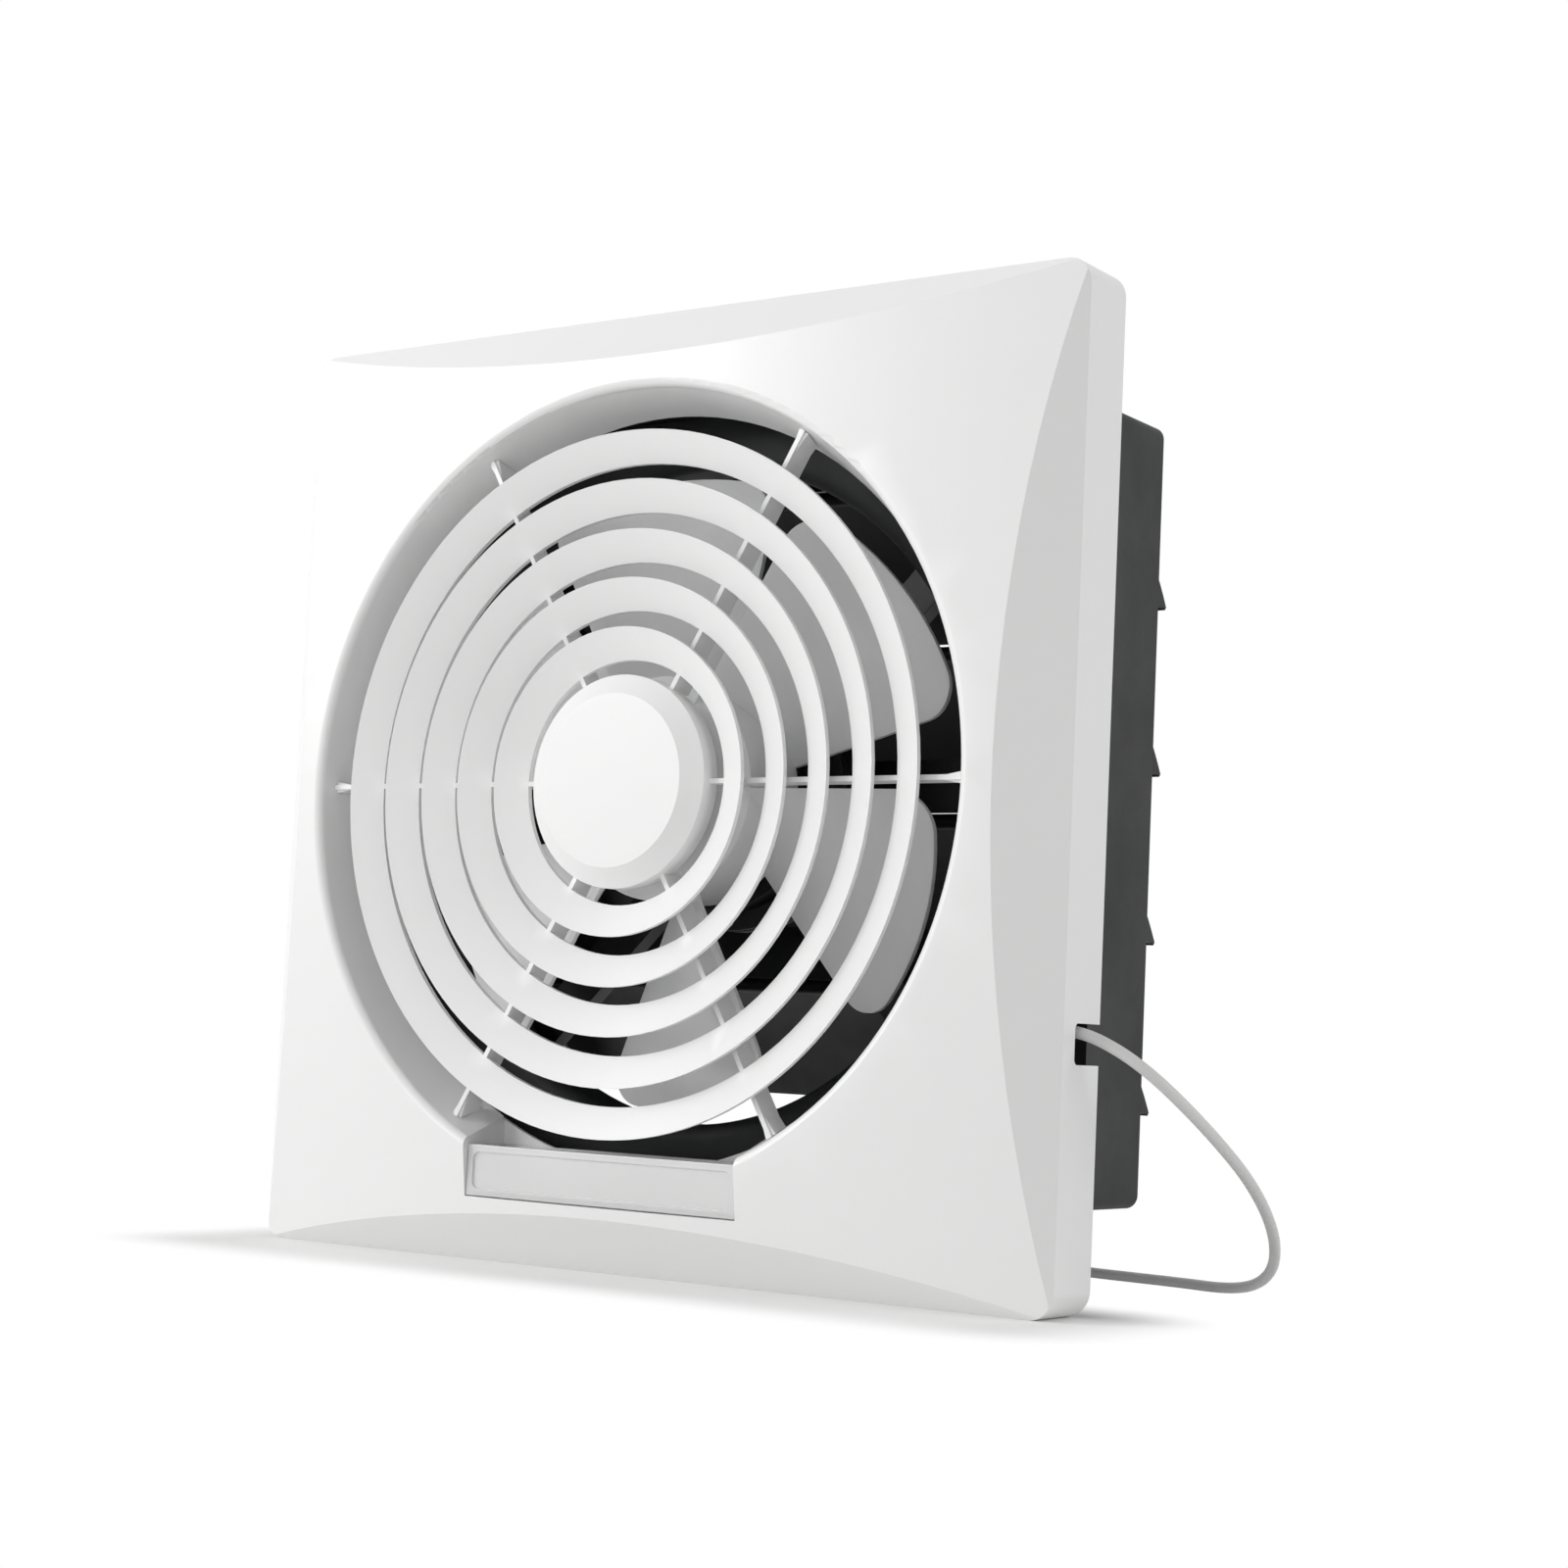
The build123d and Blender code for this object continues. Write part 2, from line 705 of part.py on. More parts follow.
# spinner nut that holds the impeller on the shaft
with BuildPart() as spinner_nut:
    with BuildSketch(facing(hub_front_y)):
        Circle(spinner_r)
        with PolarLocations(spinner_r + 2, 8):
            Circle(3.2, mode=Mode.SUBTRACT)
    extrude(amount=spinner_len)
    with BuildSketch(facing(hub_front_y)):
        Circle(shaft_r)
    extrude(amount=hub_front_y - shaft_front_y, mode=Mode.SUBTRACT)
finish(spinner_nut.part, "spinner_nut")

# shutter frame: stiles with the pivot holes, joined by two rails
frame_half = inner_half - fit_gap
with BuildPart() as shutter_frame:
    with BuildSketch(facing(shutter_front_y)):
        RectangleRounded(2 * frame_half, 2 * frame_half, body_corner_r - body_wall)
        Rectangle(2 * stile_in, 2 * (frame_half - rail_h), mode=Mode.SUBTRACT)
    extrude(amount=shutter_front_y - shutter_rear_y)
    with BuildSketch(facing(shutter_rear_y)):
        with Locations((0, frame_half - rail_h - head_strip_h / 2)):
            Rectangle(2 * stile_in, head_strip_h)
    extrude(amount=head_strip_t)
    for k in range(1, louvre_count):
        foot_z = louvre_top_z - k * louvre_pitch + cross_rail_lift
        with BuildSketch(facing(cross_rail_y)):
            with Locations((0, foot_z + cross_rail_h / 2)):
                Rectangle(cross_rail_w, cross_rail_h)
            with Locations((0, foot_z + (cross_rail_h + crank_pass_h) / 2)):
                Rectangle(2 * stile_in + 1, cross_rail_h - crank_pass_h)
        extrude(amount=-cross_rail_t)
    with BuildSketch(Plane.YZ.offset(-stile_in - pivot_len)):
        for k in range(louvre_count):
            with Locations((louvre_axis_y, louvre_top_z - k * louvre_pitch)):
                Circle(pivot_r + pivot_gap)
    extrude(amount=2 * (stile_in + pivot_len), mode=Mode.SUBTRACT)
    with BuildSketch(facing(shutter_rear_y)):
        with GridLocations(2 * frame_screw_x, 2 * frame_screw_z, 2, 2):
            Circle(screw_r)
    extrude(amount=shutter_rear_y - shutter_front_y, mode=Mode.SUBTRACT)
finish(shutter_frame.part, "shutter_frame")
frame_corners = [(sx * frame_screw_x, sz * frame_screw_z) for sx in (-1, 1) for sz in (-1, 1)]
screws("shutter_screws", frame_corners, shutter_rear_y, shutter_rear_y - ledge_y + 1.5, 1, thread_r, 3.0)

# louvres: bowed plates with end cheeks, pivots and a crank
opened = radians(louvre_open_deg)
crank_dir = (cos(radians(crank_open_deg)), sin(radians(crank_open_deg)))
rod_y = louvre_axis_y + crank_r * crank_dir[0]


def louvre_plane(x, z):
    # its X runs down the chord of the opened louvre and its Y to the outer side
    return Plane(origin=(x, louvre_axis_y, z), x_dir=(0, sin(opened), -cos(opened)), z_dir=(1, 0, 0))


def crank_arm(x, y, z):
    # flat link from a pivot to its crank pin, with the pin on its inner side
    with BuildPart() as arm:
        with BuildSketch(Plane(origin=(x, y, z), x_dir=(0, 1, 0), z_dir=(1, 0, 0))):
            with Locations((crank_r * crank_dir[0] / 2, crank_r * crank_dir[1] / 2)):
                SlotCenterToCenter(crank_r, 6.5, rotation=crank_open_deg - 180)
        extrude(amount=crank_t)
        pin_plane = Plane(origin=(x, y, z), x_dir=(0, 1, 0), z_dir=(1, 0, 0))
        with BuildSketch(pin_plane.offset(-crank_pin_len)):
            with Locations((crank_r * crank_dir[0], crank_r * crank_dir[1])):
                Circle(crank_pin_r)
        extrude(amount=crank_pin_len + crank_t / 2)
    return arm.part


half_w = louvre_width / 2
for k in range(louvre_count):
    axis_z = louvre_top_z - k * louvre_pitch
    with BuildPart() as louvre:
        with BuildSketch(louvre_plane(-half_w, axis_z)):
            with BuildLine():
                t = louvre_t / 2
                ThreePointArc((0, t), (louvre_chord / 2, louvre_bow + t), (louvre_chord, t))
                Line((louvre_chord, t), (louvre_chord, -t))
                ThreePointArc((louvre_chord, -t), (louvre_chord / 2, louvre_bow - t), (0, -t))
                Line((0, -t), (0, t))
            make_face()
            Circle(barrel_r)
        extrude(amount=louvre_width)
        for x in (-half_w, half_w - louvre_cheek_t):
            with BuildSketch(louvre_plane(x, axis_z)):
                with BuildLine():
                    ThreePointArc((0, 0), (louvre_chord / 2, louvre_bow), (louvre_chord, 0))
                    Polyline(
                        (louvre_chord, 0),
                        (louvre_chord * 0.8, -louvre_cheek_drop),
                        (barrel_r, -louvre_cheek_drop * 0.7),
                        (0, 0),
                    )
                make_face()
            extrude(amount=louvre_cheek_t)
        with BuildSketch(louvre_plane(-half_w - pivot_len, axis_z)):
            Circle(pivot_r)
        extrude(amount=louvre_width + 2 * pivot_len)
        add(crank_arm(crank_x, louvre_axis_y, axis_z))
    finish(louvre.part, f"louvre_{k + 1}")

# tie rod that joins the cranks, with an arm to the shutter motor's crank
with BuildPart() as tie_rod:
    rod_plane = Plane.YZ.offset(crank_x - rod_gap - rod_t)
    pin_zs = [louvre_top_z - k * louvre_pitch + crank_r * crank_dir[1] for k in range(louvre_count)]
    drive_pin_z = drive_z + crank_r * crank_dir[1]
    drive_rod_y = drive_y + crank_r * crank_dir[0]
    with BuildSketch(rod_plane):
        with Locations((rod_y, (pin_zs[0] + pin_zs[-1]) / 2)):
            SlotOverall(pin_zs[0] - pin_zs[-1] + 2 * rod_end, rod_w, rotation=90)
        with Locations(((rod_y + drive_rod_y) / 2, drive_pin_z)):
            SlotOverall(rod_y - drive_rod_y + 2 * rod_end, rod_w)
        for pin_z in pin_zs:
            with Locations((rod_y, pin_z)):
                Circle(crank_pin_r + pivot_gap, mode=Mode.SUBTRACT)
        with Locations((drive_rod_y, drive_pin_z)):
            Circle(crank_pin_r + pivot_gap, mode=Mode.SUBTRACT)
    extrude(amount=rod_t)
finish(tie_rod.part, "tie_rod")

# shutter motor on the body's right wall and its crank
drive_box_x = crank_x + drive_disc_t + 1.5
with BuildPart() as shutter_motor:
    with BuildSketch(Plane.YZ.offset(drive_box_x)):
        with Locations((drive_y, drive_z)):
            RectangleRounded(drive_box_w, drive_box_h, 3)
    extrude(amount=inner_half - drive_box_x)
    with BuildSketch(Plane.YZ.offset(drive_box_x)):
        with Locations((drive_y, drive_z)):
            Circle(drive_shaft_r + running_gap)
    extrude(amount=8, mode=Mode.SUBTRACT)
finish(shutter_motor.part, "shutter_motor")
with BuildPart() as drive_crank:
    with BuildSketch(Plane.YZ.offset(crank_x)):
        with Locations((drive_y, drive_z)):
            Circle(drive_disc_r)
    extrude(amount=drive_disc_t)
    with BuildSketch(Plane.YZ.offset(crank_x - crank_pin_len)):
        with Locations((drive_y + crank_r * crank_dir[0], drive_z + crank_r * crank_dir[1])):
            Circle(crank_pin_r)
    extrude(amount=crank_pin_len + drive_disc_t / 2)
    with BuildSketch(Plane.YZ.offset(crank_x)):
        with Locations((drive_y, drive_z)):
            Circle(drive_shaft_r)
    extrude(amount=drive_box_x - crank_x + 7.5)
finish(drive_crank.part, "drive_crank")

# spring clips on the flange, one round each rib of the panel
with BuildPart() as panel_clips:
    places = [(-rib_x, rib_z), (rib_x, rib_z), (-rib_x, -rib_z), (rib_x, -rib_z)]
    with BuildSketch(facing(-flange_t)):
        with Locations(*places):
            Rectangle(rib_w, rib_t + 2 * (clip_gap + clip_t))
    extrude(amount=clip_h)
    with BuildSketch(facing(-flange_t - clip_t)):
        with Locations(*places):
            Rectangle(rib_w + 1, rib_t + 2 * clip_gap)
    extrude(amount=clip_h, mode=Mode.SUBTRACT)
finish(panel_clips.part, "panel_clips")

# terminal box in the lower right corner of the flange
terminal_mid = (terminal_x + terminal_w / 2, terminal_bottom_z + terminal_h / 2)
with BuildPart() as terminal_cover:
    with BuildSketch(facing(-flange_t)):
        with Locations(terminal_mid):
            RectangleRounded(terminal_w, terminal_h, 2)
    extrude(amount=terminal_d)
    with BuildSketch(facing(-flange_t)):
        with Locations(terminal_mid):
            Rectangle(terminal_w - 2 * terminal_wall, terminal_h - 2 * terminal_wall)
    extrude(amount=terminal_d - terminal_wall, mode=Mode.SUBTRACT)
    with BuildSketch(Plane.XY.offset(bush_z)):
        with Locations((bush_x, bush_y)):
            Circle(bush_r)
    extrude(amount=-2 * terminal_wall, mode=Mode.SUBTRACT)
finish(terminal_cover.part, "terminal_cover")
with BuildPart() as terminal_block:
    with BuildSketch(facing(-flange_t)):
        with Locations((terminal_mid[0] + 8, terminal_bottom_z + 9)):
            Rectangle(22, 12)
    extrude(amount=9)
finish(terminal_block.part, "terminal_block")

# lead from the motor to the terminal box, behind one bracket arm and through the orifice plate
lead_y = bracket_rear_y + lead_r + 0.6
lead_start = (motor_r + fit_gap) / sqrt(2) + 0.5
lead_points = [
    (lead_start, lead_y + 3.3, -lead_start),
    (40.5, lead_y + 3.3, -39.0),
    (62.0, lead_y, -58.0),
    (95.0, lead_y, -82.0),
    (lead_x, lead_y, lead_z + 0.3),
    (lead_x, 12.0, lead_z + 0.2),
    (lead_x, -flange_t - 2, lead_z),
]

# power cord and its bush in the terminal box
cord_low_z = floor_z + cord_d / 2
with BuildPart() as cord_bush:
    with BuildSketch(Plane.XY.offset(bush_z)):
        with Locations((bush_x, bush_y)):
            Circle(bush_r)
    extrude(amount=bush_len, taper=bush_taper_deg)
    with BuildSketch(Plane.XY.offset(bush_z - bush_sunk)):
        with Locations((bush_x, bush_y)):
            Circle(bush_r)
    extrude(amount=bush_sunk)
finish(cord_bush.part, "cord_bush")

cord_points = [
    (bush_x, bush_y, bush_z + bush_len),
    (bush_x, bush_y, -97.2),
    (149.6, -12.0, -90.0),
    (154.9, -11.9, -84.4),
    (162.9, -11.7, -81.1),
    (175.6, -11.4, -82.0),
    (187.5, -9.5, -87.2),
    (196.5, -4.5, -94.2),
    (202.0, 4.5, -102.0),
    (205.0, 17.0, -110.0),
    (206.5, 32.0, -118.5),
    (206.5, 50.0, -128.0),
    (204.5, 70.0, -139.5),
    (199.5, 90.0, -151.5),
    (190.5, 108.5, -162.5),
    (177.0, 123.5, -170.0),
    (160.0, 134.5, cord_low_z),
    (140.0, 141.0, cord_low_z),
    (118.0, 144.0, cord_low_z),
    (96.0, 144.0, cord_low_z + 0.3),
    (74.0, 143.6, coil_low_z),
    (58.0, coil_end_y, coil_low_z),
    (coil_x + cord_d, coil_end_y, coil_low_z),
]


def corner_radii(points):
    # radius of each corner, as large as its two runs allow
    radii = []
    for before, here, after in zip(points, points[1:], points[2:]):
        run_in = Vector(*here) - Vector(*before)
        run_out = Vector(*after) - Vector(*here)
        turn = radians(run_in.get_angle(run_out))
        radii.append(0.45 * min(run_in.length, run_out.length) / tan(turn / 2))
    return radii


def tube(points, radius, name):
    radii = corner_radii(points)
    start = Plane(origin=points[0], z_dir=Vector(*points[1]) - Vector(*points[0]))
    with BuildPart() as run:
        with BuildLine() as path:
            FilletPolyline(*points, radius=radii)
        with BuildSketch(start):
            Circle(radius)
        sweep()
    length = path.wire().length
    print(name, "length", round(length, 1), "least radius", round(min(radii), 1))
    print(name, "volume", round(run.part.volume, 1), "section by length", round(pi * radius**2 * length, 1))
    finish(run.part, name)
    return length


cord_length = tube(cord_points, cord_d / 2, "power_cord")
lead_length = tube(lead_points, lead_r, "motor_lead")

coil_out_r = coil_mean_r + coil_pitch * coil_turns / 4


def coil_point(turn):
    # spiral in to the middle of its turns, up one layer there, and out again
    r = coil_out_r - coil_pitch * min(turn, coil_turns - turn)
    climb = min(max((turn - coil_turns / 2) * 2 + 0.5, 0), 1)
    a = pi / 2 + 2 * pi * turn
    z = coil_low_z + coil_layer * climb**2 * (3 - 2 * climb)
    return Vector(coil_x + r * cos(a), coil_y + r * sin(a), z)


def coil_tangent(turn):
    if turn in (0, coil_turns):
        return Vector(-1, 0, 0)
    step = 0.0005
    return (coil_point(turn + step) - coil_point(turn - step)).normalized()


def biarc(p0, t0, p1, t1):
    # two arcs that join two points with their tangents
    v = p1 - p0
    t = t0 + t1
    d2 = 2 * (1 - t0.dot(t1))
    d = (-v.dot(t) + sqrt(v.dot(t) ** 2 + d2 * v.dot(v))) / d2
    return (p0 + t0 * d + p1 - t1 * d) * 0.5


with BuildPart() as cord_coil:
    with BuildLine() as coil_path:
        first = coil_point(0)
        last = coil_point(coil_turns)
        Line(first + Vector(cord_d, 0, 0), first)
        steps = coil_turns * 4
        for k in range(steps):
            p0 = coil_point(k / 4)
            p1 = coil_point((k + 1) / 4)
            t0 = coil_tangent(k / 4)
            t1 = coil_tangent((k + 1) / 4)
            q = biarc(p0, t0, p1, t1)
            first_arc = TangentArc(p0, q, tangent=t0)
            TangentArc(q, p1, tangent=first_arc % 1)
        Line(last, last - Vector(cord_d, 0, 0))
    with BuildSketch(Plane(origin=first + Vector(cord_d, 0, 0), z_dir=(-1, 0, 0))):
        Circle(cord_d / 2)
    sweep()
coil_length = coil_path.wire().length
samples = [coil_path.wire() @ (i / 800) for i in range(801)]
skip = int(800 * 0.5 * 2 * pi * coil_mean_r / coil_length)
least = min((a - b).length for i, a in enumerate(samples) for b in samples[i + skip:])
print("coil length", round(coil_length, 1), "least gap to itself", round(least - cord_d, 2))
print("cord in all", round(cord_length + coil_length, 1))
finish(cord_coil.part, "cord_coil")

# tie round the coil's turns
with BuildPart() as coil_tie:
    tie_y = coil_y - coil_mean_r
    tie_room_w = coil_pitch + cord_d + 0.8
    tie_room_h = coil_layer + cord_d + 0.6
    tie_mid_z = coil_low_z + coil_layer / 2
    with BuildSketch(Plane.YZ.offset(coil_x - tie_w / 2)):
        with Locations((tie_y, tie_mid_z)):
            RectangleRounded(tie_room_w + 2 * tie_t, tie_room_h + 2 * tie_t, 1.5)
            RectangleRounded(tie_room_w, tie_room_h, 0.8, mode=Mode.SUBTRACT)
    extrude(amount=tie_w)
finish(coil_tie.part, "coil_tie")

# plug beside the coil
plug_z = coil_low_z + coil_layer
plug_start = coil_x - cord_d


def plug_plane(behind):
    return Plane(origin=(plug_start - behind, coil_end_y, plug_z), x_dir=(0, 1, 0), z_dir=(-1, 0, 0))


with BuildPart() as plug_body:
    with BuildSketch(plug_plane(0)):
        Circle(cord_d / 2 + 0.2)
    with BuildSketch(plug_plane(plug_nose)):
        Circle(plug_nose_r)
    loft()
    with BuildSketch(plug_plane(plug_nose)):
        RectangleRounded(plug_w * 0.6, plug_h * 0.8, 4)
    with BuildSketch(plug_plane(plug_nose + plug_len / 3)):
        RectangleRounded(plug_w, plug_h, 4)
    loft()
    with BuildSketch(plug_plane(plug_nose + plug_len / 3)):
        RectangleRounded(plug_w, plug_h, 4)
    extrude(amount=plug_len * 2 / 3)
finish(plug_body.part, "plug_body")
with BuildPart() as plug_pins:
    with BuildSketch(plug_plane(plug_nose + plug_len)):
        with Locations((-pin_spacing / 2, 0), (pin_spacing / 2, 0)):
            Rectangle(pin_t, pin_w)
    extrude(amount=pin_len)
finish(plug_pins.part, "plug_pins")

# capacitor and its strap on the floor of the body
cap_floor_z = -inner_half
with BuildPart() as capacitor:
    with BuildSketch(Plane.XY.offset(cap_floor_z)):
        with Locations((capacitor_x, capacitor_y)):
            RectangleRounded(capacitor_size[0], capacitor_size[1], 2)
    extrude(amount=capacitor_size[2])
finish(capacitor.part, "capacitor")
strap_t = 1.0
with BuildPart() as capacitor_strap:
    strap_w = capacitor_size[0] + 2 * strap_t
    with BuildSketch(Plane.XZ.offset(-capacitor_y - 5)):
        with Locations((capacitor_x, cap_floor_z + (capacitor_size[2] + strap_t) / 2)):
            Rectangle(strap_w, capacitor_size[2] + strap_t)
        with Locations((capacitor_x, cap_floor_z + capacitor_size[2] / 2)):
            Rectangle(capacitor_size[0], capacitor_size[2], mode=Mode.SUBTRACT)
        for side in (-1, 1):
            with Locations((capacitor_x + side * (strap_w / 2 + 4), cap_floor_z + strap_t / 2)):
                Rectangle(8.2, strap_t)
    extrude(amount=10)
finish(capacitor_strap.part, "capacitor_strap")
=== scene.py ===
import bpy
import bmesh
from math import cos, pi, radians, sin
from mathutils import Matrix, Vector


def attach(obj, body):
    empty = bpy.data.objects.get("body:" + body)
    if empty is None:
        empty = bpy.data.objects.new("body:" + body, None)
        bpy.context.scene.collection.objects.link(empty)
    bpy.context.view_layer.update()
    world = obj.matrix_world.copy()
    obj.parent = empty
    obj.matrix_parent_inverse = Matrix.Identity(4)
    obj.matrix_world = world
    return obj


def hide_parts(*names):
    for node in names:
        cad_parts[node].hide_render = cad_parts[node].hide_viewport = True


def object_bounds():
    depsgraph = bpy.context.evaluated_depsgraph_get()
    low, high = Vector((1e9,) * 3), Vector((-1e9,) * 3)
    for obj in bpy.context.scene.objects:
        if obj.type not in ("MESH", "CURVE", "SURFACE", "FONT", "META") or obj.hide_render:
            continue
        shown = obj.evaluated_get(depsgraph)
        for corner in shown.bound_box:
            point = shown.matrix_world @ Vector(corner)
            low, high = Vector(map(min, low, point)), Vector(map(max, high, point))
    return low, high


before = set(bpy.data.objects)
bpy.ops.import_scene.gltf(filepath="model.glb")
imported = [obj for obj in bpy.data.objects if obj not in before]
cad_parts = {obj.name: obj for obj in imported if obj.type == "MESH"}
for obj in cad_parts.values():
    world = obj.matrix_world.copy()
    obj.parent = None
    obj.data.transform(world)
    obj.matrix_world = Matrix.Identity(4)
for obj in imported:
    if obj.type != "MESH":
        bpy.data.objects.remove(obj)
cadLow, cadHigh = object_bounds()
scene = bpy.context.scene
scene.view_settings.view_transform = "Standard"


# helpers for meshes
def toObject(bm, name):
    mesh = bpy.data.meshes.new(name)
    bm.to_mesh(mesh)
    bm.free()
    obj = bpy.data.objects.new(name, mesh)
    scene.collection.objects.link(obj)
    return obj


def addBevel(obj, width, segments=2, angle=35):
    mod = obj.modifiers.new("softEdges", "BEVEL")
    mod.width = width
    mod.segments = segments
    mod.limit_method = "ANGLE"
    mod.angle_limit = radians(angle)
    mod.harden_normals = True
    mod.use_clamp_overlap = True


def smoothBy(bm, angle):
    for face in bm.faces:
        face.smooth = True
    for edge in bm.edges:
        edge.smooth = edge.is_manifold and edge.calc_face_angle(0) < radians(angle)


def settle(obj, body, material, nodes=()):
    obj.data.materials.clear()
    obj.data.materials.append(material)
    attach(obj, body)
    if nodes:
        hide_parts(*nodes)
    return obj


def dress(node, body, material, bevel=0.0, angle=32, segments=2):
    # a merged, smooth-shaded copy of a CAD node, with softened edges
    bm = bmesh.new()
    bm.from_mesh(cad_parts[node].data)
    bmesh.ops.remove_doubles(bm, verts=bm.verts, dist=1e-6)
    bmesh.ops.dissolve_limit(bm, angle_limit=radians(0.4), verts=bm.verts, edges=bm.edges)
    smoothBy(bm, angle)
    obj = toObject(bm, node + "Piece")
    if bevel:
        addBevel(obj, bevel, segments, angle)
    return settle(obj, body, material, [node])


# camera, floor and light
cameraView = {"azimuth": 34.708, "elevation": -5.209, "roll": -2.691, "lens": 63.57,
              "place": (0.60885, -0.81596, -0.08781)}


def makeCamera(view):
    a, e, r = radians(view["azimuth"]), radians(view["elevation"]), radians(view["roll"])
    back = Vector((sin(a) * cos(e), -cos(a) * cos(e), sin(e)))
    right = (-back).cross(Vector((0, 0, 1))).normalized()
    down = (-back).cross(right)
    imageRight = right * cos(r) + down * sin(r)
    imageDown = down * cos(r) - right * sin(r)
    data = bpy.data.cameras.new("camera")
    data.lens = view["lens"]
    data.sensor_width = 36
    data.clip_start = 0.01
    camera = bpy.data.objects.new("camera", data)
    turn = Matrix((imageRight, -imageDown, back)).transposed()
    camera.matrix_world = Matrix.Translation(view["place"]) @ turn.to_4x4()
    scene.collection.objects.link(camera)
    scene.camera = camera


makeCamera(cameraView)

floorZ = cadLow[2]
stageLook = {"floorColour": (0.9, 0.9, 0.895, 1), "underX": 0.17, "underY": 0.027, "whiteTo": 0.05,
             "worldStrength": 0.38, "floorSize": 12}
lamps = {
    "key": {"place": (-1.5, -1.5, 0.85), "size": 1.2, "power": 27},
    "fill": {"place": (0.7, -1.9, -0.05), "size": 1.5, "power": 6.5},
    "side": {"place": (1.7, 0.75, 0.3), "size": 1.0, "power": 7.8},
    "top": {"place": (0.0, -0.2, 1.8), "size": 1.4, "power": 4},
}


def cameraOrGloss(nodes, links):
    path = nodes.new("ShaderNodeLightPath")
    first = nodes.new("ShaderNodeMath")
    first.operation = "MAXIMUM"
    links.new(path.outputs["Is Camera Ray"], first.inputs[0])
    links.new(path.outputs["Is Glossy Ray"], first.inputs[1])
    second = nodes.new("ShaderNodeMath")
    second.operation = "MAXIMUM"
    links.new(first.outputs[0], second.inputs[0])
    links.new(path.outputs["Is Transmission Ray"], second.inputs[1])
    return second.outputs[0]


def makeFloor(look):
    bm = bmesh.new()
    bmesh.ops.create_grid(bm, x_segments=1, y_segments=1, size=look["floorSize"])
    bmesh.ops.translate(bm, verts=bm.verts, vec=(0, 0, floorZ))
    floor = toObject(bm, "floor")
    mat = bpy.data.materials.new("paleFloor")
    mat.use_nodes = True
    nodes, links = mat.node_tree.nodes, mat.node_tree.links
    plain = nodes["Principled BSDF"]
    plain.inputs["Base Color"].default_value = look["floorColour"]
    plain.inputs["Roughness"].default_value = 0.9
    plain.inputs["Specular IOR Level"].default_value = 0.1
    white = nodes.new("ShaderNodeEmission")
    white.inputs["Color"].default_value = (1, 1, 1, 1)
    coords = nodes.new("ShaderNodeTexCoord")
    last = coords.outputs["Object"]
    under = (look["underX"], look["underY"], 10)
    for operation, value in (("ADD", (0, look["underY"], 0)), ("ABSOLUTE", None), ("SUBTRACT", under),
                             ("MAXIMUM", (0, 0, 0)), ("LENGTH", None)):
        step = nodes.new("ShaderNodeVectorMath")
        step.operation = operation
        links.new(last, step.inputs[0])
        if value:
            step.inputs[1].default_value = value
        last = step.outputs["Value" if operation == "LENGTH" else "Vector"]
    fade = nodes.new("ShaderNodeMapRange")
    fade.interpolation_type = "SMOOTHSTEP"
    fade.inputs["From Max"].default_value = look["whiteTo"]
    links.new(last, fade.inputs["Value"])
    both = nodes.new("ShaderNodeMath")
    both.operation = "MULTIPLY"
    links.new(fade.outputs["Result"], both.inputs[0])
    links.new(cameraOrGloss(nodes, links), both.inputs[1])
    mix = nodes.new("ShaderNodeMixShader")
    links.new(both.outputs[0], mix.inputs["Fac"])
    links.new(plain.outputs[0], mix.inputs[1])
    links.new(white.outputs[0], mix.inputs[2])
    links.new(mix.outputs[0], nodes["Material Output"].inputs["Surface"])
    floor.data.materials.append(mat)


def makeWorld(look):
    world = bpy.data.worlds.new("studio")
    world.use_nodes = True
    scene.world = world
    nodes, links = world.node_tree.nodes, world.node_tree.links
    soft = nodes["Background"]
    soft.inputs["Color"].default_value = (1, 1, 1, 1)
    soft.inputs["Strength"].default_value = look["worldStrength"]
    white = nodes.new("ShaderNodeBackground")
    white.inputs["Color"].default_value = (1, 1, 1, 1)
    white.inputs["Strength"].default_value = 1.0
    mix = nodes.new("ShaderNodeMixShader")
    links.new(cameraOrGloss(nodes, links), mix.inputs["Fac"])
    links.new(soft.outputs[0], mix.inputs[1])
    links.new(white.outputs[0], mix.inputs[2])
    links.new(mix.outputs[0], nodes["World Output"].inputs["Surface"])


def makeLamp(name, lamp):
    data = bpy.data.lights.new(name, "AREA")
    data.size = lamp["size"]
    data.energy = lamp["power"]
    obj = bpy.data.objects.new(name, data)
    aim = Vector((0, 0, -0.02)) - Vector(lamp["place"])
    obj.matrix_world = Matrix.Translation(lamp["place"]) @ aim.to_track_quat("-Z", "Y").to_matrix().to_4x4()
    scene.collection.objects.link(obj)


makeFloor(stageLook)
makeWorld(stageLook)
for lampName, lamp in lamps.items():
    makeLamp(lampName, lamp)
print("stage: camera, floor and lamps")


# shared effects
def newGroup(name, inputs, outputs):
    group = bpy.data.node_groups.new(name, "ShaderNodeTree")
    for socket, kind, value in inputs:
        made = group.interface.new_socket(name=socket, in_out="INPUT", socket_type=kind)
        made.default_value = value
    for socket, kind in outputs:
        group.interface.new_socket(name=socket, in_out="OUTPUT", socket_type=kind)
    return group, group.nodes.new("NodeGroupInput"), group.nodes.new("NodeGroupOutput")


